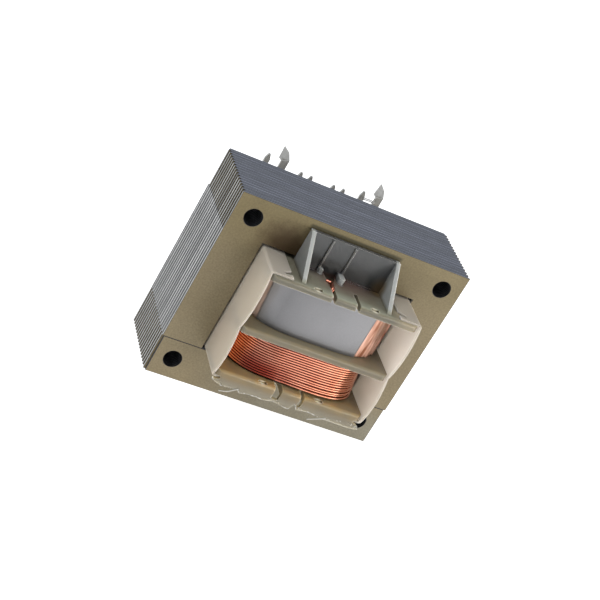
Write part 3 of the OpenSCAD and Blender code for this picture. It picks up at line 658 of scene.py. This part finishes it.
def broken_edge_tree(material):
    """Uneven bead along a broken edge, with thin flakes that still hang on it."""
    tree, given = geometry_tree("broken_edge", {"Path": "Geometry", "Step": "Float", "Bead": "Float",
                                                "Flake Step": "Float", "Flake": "Float", "Seed": "Int"})
    path = add(tree, "GeometryNodeMeshToCurve", {"Mesh": given["Path"]})
    fine = add(tree, "GeometryNodeResampleCurve", {"Curve": path, "Length": given["Step"]}, mode="LENGTH")
    spot = add(tree, "GeometryNodeInputPosition")
    waver = add(tree, "ShaderNodeTexNoise", {"Vector": spot, "Scale": 1 / (0.7 * MM), "Detail": 2.0})
    thick = add(tree, "ShaderNodeMapRange",
                {"Value": waver, "From Min": 0.35, "From Max": 0.65, "To Min": 0.3, "To Max": 1.5})
    fine = add(tree, "GeometryNodeSetCurveRadius",
               {"Curve": fine, "Radius": together(tree, thick, given["Bead"])})
    section = add(tree, "GeometryNodeCurvePrimitiveCircle", {"Resolution": 6, "Radius": 1.0})
    scale = add(tree, "GeometryNodeInputRadius")
    bead = add(tree, "GeometryNodeCurveToMesh",
               {"Curve": fine, "Profile Curve": section, "Fill Caps": True, "Scale": scale})
    sparse = add(tree, "GeometryNodeResampleCurve", {"Curve": path, "Length": given["Flake Step"]},
                 mode="LENGTH")
    flake = add(tree, "GeometryNodeMeshCone",
                {"Vertices": 3, "Radius Top": 0.15, "Radius Bottom": 0.6, "Depth": 0.16})
    turn = add(tree, "FunctionNodeRandomValue",
               {"Min": (-0.4, -0.5, -1.5), "Max": (0.9, 0.5, 1.5), "Seed": given["Seed"]},
               data_type="FLOAT_VECTOR")
    size = add(tree, "FunctionNodeRandomValue",
               {"Min": (0.5, 0.2, 0.4), "Max": (1.6, 0.5, 1.0), "Seed": given["Seed"]},
               data_type="FLOAT_VECTOR")
    size = add(tree, "ShaderNodeVectorMath", {0: size, "Scale": given["Flake"]}, operation="SCALE")
    flakes = add(tree, "GeometryNodeInstanceOnPoints",
                 {"Points": sparse, "Instance": flake, "Rotation": turn, "Scale": size})
    both = add(tree, "GeometryNodeJoinGeometry")
    for part in (bead, flakes):
        give(tree, both, {0: part})
    end_tree(tree, both, material)
    return tree


def solder_tree(material):
    """A flattened drop of solder at each point."""
    tree, given = geometry_tree("solder_drops", {"Points": "Geometry", "Drop": "Float", "Seed": "Int"})
    drop = add(tree, "GeometryNodeMeshIcoSphere", {"Radius": 1.0, "Subdivisions": 3})
    size = add(tree, "FunctionNodeRandomValue",
               {"Min": (0.8, 0.6, 0.7), "Max": (1.1, 0.8, 1.1), "Seed": given["Seed"]},
               data_type="FLOAT_VECTOR")
    size = add(tree, "ShaderNodeVectorMath", {0: size, "Scale": given["Drop"]}, operation="SCALE")
    drops = add(tree, "GeometryNodeInstanceOnPoints",
                {"Points": given["Points"], "Instance": drop, "Scale": size})
    end_tree(tree, drops, material)
    return tree


def superellipse(half_x, half_y, power, angle):
    """A point of a winding's plan."""
    across = math.cos(angle)
    along = math.sin(angle)
    x = half_x * math.copysign(abs(across) ** (2 / power), across)
    y = half_y * math.copysign(abs(along) ** (2 / power), along)
    return Vector((x, y, 0))


def even_plan(half_x, half_y, power, step):
    """Points of a winding's plan at even steps, counter-clockwise from its right end."""
    samples = 4000
    fine = [superellipse(half_x, half_y, power, math.tau * k / samples) for k in range(samples + 1)]
    lengths = [(b - a).length for a, b in zip(fine, fine[1:])]
    count = round(sum(lengths) / step)
    points = []
    travelled = 0.0
    wanted = 0.0
    for point, length in zip(fine, lengths):
        if travelled >= wanted and len(points) < count:
            points.append(point)
            wanted += sum(lengths) / count
        travelled += length
    return points


def outward(points, k):
    """Direction square to a closed plan at one of its points."""
    along = points[(k + 1) % len(points)] - points[k - 1]
    return Vector((along.y, -along.x, 0)).normalized()


def secondary_coil(wire_material, inner_material):
    """Bare secondary: one layer of turns, over the layers under it, which are painted dark as shade."""
    turns = 16
    pitch = (COIL_HIGH.z - COIL_LOW.z) / turns
    radius = 0.4 * pitch
    lift = 1.1 * radius
    sunk = 1.6 * radius
    mesh = grow("secondary_coil", wound_wire_tree(wire_material), {
        "Turns": turns, "Steps": 120, "Pitch": pitch * (turns - 1) / turns, "Power": COIL_POWER,
        "Half X": COIL_HIGH.x - radius, "Half Y": COIL_HIGH.y - radius, "Low Z": COIL_LOW.z + lift,
        "Wire Radius": radius, "Slack": 0.22 * MM, "Bulge": 0.85 * MM, "Seed": 4})
    place_piece("secondary_coil", mesh, ["secondary_winding"])
    plan = even_plan(COIL_HIGH.x - sunk, COIL_HIGH.y - sunk, COIL_POWER, 0.8 * MM)
    rows = [[point + Vector((0, 0, z)) for point in plan] for z in (COIL_LOW.z, COIL_HIGH.z)]
    lay_sheet("secondary_inner_layers", rows, inner_material, 1 * MM, closed=True)


def primary_tape(material):
    """Clear tape around the primary: one sleeve, with faint wrinkles that stay within its solid."""
    rng = random.Random(5)
    wrinkle = 0.012 * MM
    levels = 14
    plan = even_plan(TAPE_HIGH.x, TAPE_HIGH.y, TAPE_POWER, 0.4 * MM)

    # Each wave: how fast it turns around the sleeve, how fast upwards, and where it starts
    waves = [(f, g, rng.uniform(0, math.tau)) for f, g in ((0.31, 0.4), (0.53, 0.2), (0.17, 0.7))]
    rows = []
    for r in range(levels + 1):
        z = TAPE_LOW.z + (TAPE_HIGH.z - TAPE_LOW.z) * r / levels
        row = []
        for k, point in enumerate(plan):
            wave = sum(math.sin(k * f + z / MM * g + start) for f, g, start in waves)
            row.append(point + outward(plan, k) * wrinkle * (wave - len(waves)) + Vector((0, 0, z)))
        rows.append(row)
    lay_sheet("primary_tape", rows, material, 0.06 * MM, ["primary_film"], closed=True)


def tape_folds(material):
    """End of the tape, stuck down in upright folds around the right front corner."""
    rng = random.Random(11)
    fold_count = 11
    levels = 24
    start_x = LABEL_HIGH.x - 0.3 * MM
    end_y = -7 * MM
    foot_share = 0.01
    height_share = 0.97
    clearance = 0.03 * MM
    highest_fold = 0.4 * MM
    plan = even_plan(TAPE_HIGH.x, TAPE_HIGH.y, TAPE_POWER, 0.12 * MM)
    corner = [k for k, point in enumerate(plan) if point.x > start_x and point.y < end_y]

    # Each fold: its place and width as shares of the corner, its height and its lean
    folds = [(rng.uniform(0.25, 0.95), rng.uniform(0.008, 0.02), rng.uniform(0.08, 0.3) * MM,
              rng.uniform(-0.06, 0.06)) for k in range(fold_count)]
    rows = []
    for r in range(levels + 1):
        share = r / levels
        z = TAPE_LOW.z + (TAPE_HIGH.z - TAPE_LOW.z) * (foot_share + height_share * share)
        row = []
        for n, k in enumerate(corner):
            at = n / len(corner)
            lift = sum(size * math.exp(-((at - spot - lean * share) / width) ** 2)
                       for spot, width, size, lean in folds)
            lift = clearance + min(lift, highest_fold)
            row.append(plan[k] + outward(plan, k) * lift + Vector((0, 0, z)))
        rows.append(row)
    lay_sheet("tape_folds", rows, material, 0.04 * MM)


def label_sheet(material):
    """Bare label on the tape, cut a little out of square at its left end."""
    bottom_left = LABEL_LOW.x + 0.15 * MM
    slant = 0.5 * MM
    wave_height = 0.03 * MM
    wave_across = 0.9 / MM
    wave_up = 0.7 / MM
    columns = 80
    levels = 12
    depth = -LABEL_LOW.y
    width = TAPE_HIGH.x + depth - TAPE_HIGH.y
    rows = []
    for r in range(levels + 1):
        share = r / levels
        z = LABEL_LOW.z + (LABEL_HIGH.z - LABEL_LOW.z) * share
        left = bottom_left - slant * share
        row = []
        for k in range(columns + 1):
            x = left + (LABEL_HIGH.x - left) * k / columns
            y = -depth * (1 - abs(x / width) ** TAPE_POWER) ** (1 / TAPE_POWER)
            lift = wave_height * math.sin(x * wave_across) * math.sin(z * wave_up)
            row.append(Vector((x, y - abs(lift), z)))
        rows.append(row)
    lay_sheet("label_sheet", rows, material, 0.1 * MM, ["label"])


def broken_lip(material):
    """Whitened bead and flakes along the snapped lower front edge of the bobbin."""
    front_y = -17.3 * MM
    edge_y = -17.25 * MM
    lip_top = 8.5 * MM
    low_front = {(round(v.co.x, 6), round(v.co.z, 6)) for v in NODES["bobbin"].data.vertices
                 if v.co.y < front_y and v.co.z < lip_top}
    edge = [Vector((x, edge_y, z)) for x, z in sorted(low_front)]
    mesh = grow("broken_lip", broken_edge_tree(material), {
        "Step": 0.12 * MM, "Bead": 0.13 * MM, "Flake Step": 1.3 * MM, "Flake": 0.8 * MM, "Seed": 3},
        path_mesh("lip_edge", [edge]))
    place_piece("broken_lip", mesh)


def round_wire(name, paths, material, radius, bend):
    """Places a piece of round wire along rows of points."""
    mesh = grow(name, round_wire_tree(material), {"Wire Radius": radius, "Bend": bend},
                path_mesh(name + "_path", paths))
    place_piece(name, mesh)


def lip_shreds(material):
    """Two thin shreds that hang from the broken lip."""
    left = ((-13.0, -17.4, 5.95), (-11.4, -17.42, 6.3), (-9.7, -17.4, 7.5))
    right = ((5.4, -17.4, 6.0), (7.1, -17.42, 6.7), (8.7, -17.4, 7.4))
    paths = [[Vector(point) * MM for point in shred] for shred in (left, right)]
    round_wire("lip_shreds", paths, material, radius=0.12 * MM, bend=1.5 * MM)


def pocket_wire(material):
    """End of a wire, up through the opening in the floor of the front pocket and along its slit."""
    path = ((-3.3, -12.2, 31.3), (-2.4, -12.75, 31.5), (-2.45, -14.5, 31.2), (-2.5, -15.3, 29.0))
    paths = [[Vector(point) * MM for point in path]]
    round_wire("pocket_wire", paths, material, radius=0.4 * MM, bend=0.4 * MM)


def lead_wraps(material):
    """Tinned turns of lead wire between the prongs of the right outer tag, with one end standing up."""
    low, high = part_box("upper_tag_right_outer")
    tag_front = Vector(((low.x + high.x) / 2, low.y, 0))
    wraps = [((-1.4, -0.15, z), (0, -0.2, z + 0.1), (1.1, -0.15, z - 0.15)) for z in (36.9, 37.2)]
    standing_end = ((0.5, -0.1, 36.9), (0.7, -0.1, 38.1))
    paths = [[tag_front + Vector(point) * MM for point in path] for path in wraps + [standing_end]]
    round_wire("lead_wraps", paths, material, radius=0.1 * MM, bend=0.3 * MM)


def solder_joints(material):
    """Solder where the leads meet the tags."""
    spots = []
    for name in LEADS:
        low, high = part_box(name)
        outer = high.x if high.x > 0 else low.x
        level = high.z if high.z > CORE_MIDDLE.z else low.z
        spots.append(Vector((outer, high.y - 0.1 * MM, level)))
    points = path_mesh("solder_spots", [[spot] for spot in spots])
    mesh = grow("solder_joints", solder_tree(material), {"Drop": 0.5 * MM, "Seed": 2}, points)
    place_piece("solder_joints", mesh)


def set_floor(material):
    """The level floor that the part stands on, wide enough to fill the view."""
    half = 3.0
    mesh = bpy.data.meshes.new("floor")
    corners = [(-half, -half, 0), (half, -half, 0), (half, half, 0), (-half, half, 0)]
    mesh.from_pydata(corners, [], [(0, 1, 2, 3)])
    mesh.materials.append(material)
    floor = bpy.data.objects.new("floor", mesh)
    bpy.context.scene.collection.objects.link(floor)


def set_camera():
    """The camera, turned about its line of sight as the photo's was."""
    level = math.cos(CAMERA_ELEVATION)
    back = Vector((math.sin(CAMERA_AZIMUTH) * level, -math.cos(CAMERA_AZIMUTH) * level,
                   math.sin(CAMERA_ELEVATION)))
    data = bpy.data.cameras.new("camera")
    data.lens = LENS_MM
    data.sensor_width = SENSOR_MM
    camera = bpy.data.objects.new("camera", data)
    camera.location = LOOKED_AT + back * CAMERA_DISTANCE
    camera.rotation_mode = "QUATERNION"
    camera.rotation_quaternion = (-back).to_track_quat("-Z", "Y") @ Quaternion((0, 0, 1), CAMERA_ROLL)
    bpy.context.scene.collection.objects.link(camera)
    bpy.context.scene.camera = camera


def soft_light(name, place, size, power, colour="#ffffff"):
    """A square area light that looks at the middle of the core."""
    data = bpy.data.lights.new(name, "AREA")
    data.size = size
    data.energy = power
    data.color = linear(colour)[:3]
    light = bpy.data.objects.new(name, data)
    light.location = place
    light.rotation_mode = "QUATERNION"
    light.rotation_quaternion = (CORE_MIDDLE - Vector(place)).to_track_quat("-Z", "Y")
    bpy.context.scene.collection.objects.link(light)


def set_lights():
    """Soft light from the right front, weaker ones from the upper left and the right, and a pale sky."""
    soft_light("key", (0.44, -0.54, 0.1), size=0.55, power=3.1, colour="#fff8f0")
    soft_light("upper_left", (-0.42, -0.16, 0.55), size=0.35, power=1.5)
    soft_light("right", (0.62, -0.24, 0.1), size=0.4, power=1.8, colour="#fff8f0")
    world = bpy.data.worlds.new("sky")
    world.use_nodes = True
    give(world.node_tree, world.node_tree.nodes["Background"], {"Color": "#e6ebf2", "Strength": 0.6})
    bpy.context.scene.world = world
    bpy.context.scene.view_settings.view_transform = "Standard"


def dress_core():
    """E sheets put in from above have bright legs; those from below have legs painted near black as shade,
    and bright yokes; the I bars are painted dark as shade.
    """
    rng = random.Random(29)
    bevel = 0.06 * MM
    gap = sheet_gap()

    # Tones of the legs, the yokes and the level edges
    from_above = (("#b6b6b4", "#9a9a98", "#888c98"), ("#a4a4a2", "#7c7c7a", "#7d818a"),
                  ("#8e8e8c", "#5a5a5a", "#848893"))
    # Sheets from below: legs painted near black as shade
    from_below = (("#18181a", "#9c9c9a", "#737782"), ("#242427", "#9c9c9a", "#7f838e"),
                  ("#3e3e40", "#9c9c9a", "#787c87"))
    bright = [varnished_steel(f"varnished_steel_bright_{k}", *tones) for k, tones in enumerate(from_above)]
    dull = [varnished_steel(f"varnished_steel_dull_{k}", *tones) for k, tones in enumerate(from_below)]
    # I bars: edges painted dark as shade
    bars = varnished_steel("varnished_steel_bars", "#2c2c2e", "#323234", "#6f737e")
    bright_shares = (3, 3, 1)
    dull_shares = (4, 2, 2)
    for k, name in enumerate(SHEETS):
        steel = rng.choices(dull, dull_shares)[0] if k % 2 else rng.choices(bright, bright_shares)[0]
        soften(name, bevel, [steel, gap])
    for name in BARS:
        soften(name, bevel, [bars, gap])


def dress_bobbin():
    """The moulding, with brighter edges: a painted highlight where light gathers in the plastic."""
    nylon = natural_nylon("natural_nylon", cool="#605c4d", amber="#7b6947",
                          thin_tone="#808280", dark="#222223")
    rim = natural_nylon("nylon_edges", cool="#6c6756", amber="#877450",
                        thin_tone="#aeb1b0", dark="#8a8a89")
    soften("bobbin", 0.12 * MM, [nylon, rim])


def dress_covers():
    """The two folded covers, of one sheet material."""
    sheet = cream_polypropylene()
    for side in ("left", "right"):
        soften(f"cover_{side}", 0.08 * MM, [sheet])


def dress_metal(copper):
    """Tinned tags, copper leads and the fine wire of the primary."""
    tin = bright_tin("tinned_brass", "#9c9c99", "#c6c6c3")
    for name in TAGS:
        soften(name, 0.06 * MM, [tin])
    for name in LEADS:
        soften(name, 0.01 * MM, [copper], angle=80)
    primary = NODES["primary_winding"]
    primary.data.materials.clear()
    primary.data.materials.append(fine_copper_layer())


# The stage, then the finishes of the solids, then the pieces that stand for them or are added to them
set_camera()
set_lights()
set_floor(pale_floor())
copper_wire = enamelled_copper()
dress_core()
dress_bobbin()
dress_covers()
dress_metal(copper_wire)
secondary_coil(copper_wire, shaded_copper())
primary_tape(clear_tape("clear_tape", "#d2bba9", "#e6d4c6", cover=0.42))
tape_folds(clear_tape("folded_tape", "#9a6046", "#e9b59d", cover=1.0))
label_sheet(silver_label())
broken_plastic = whitened_nylon()
broken_lip(broken_plastic)
lip_shreds(broken_plastic)
pocket_wire(copper_wire)
solder = bright_tin("solder", "#9c9c9a", "#d2d2d0")
lead_wraps(solder)
solder_joints(solder)
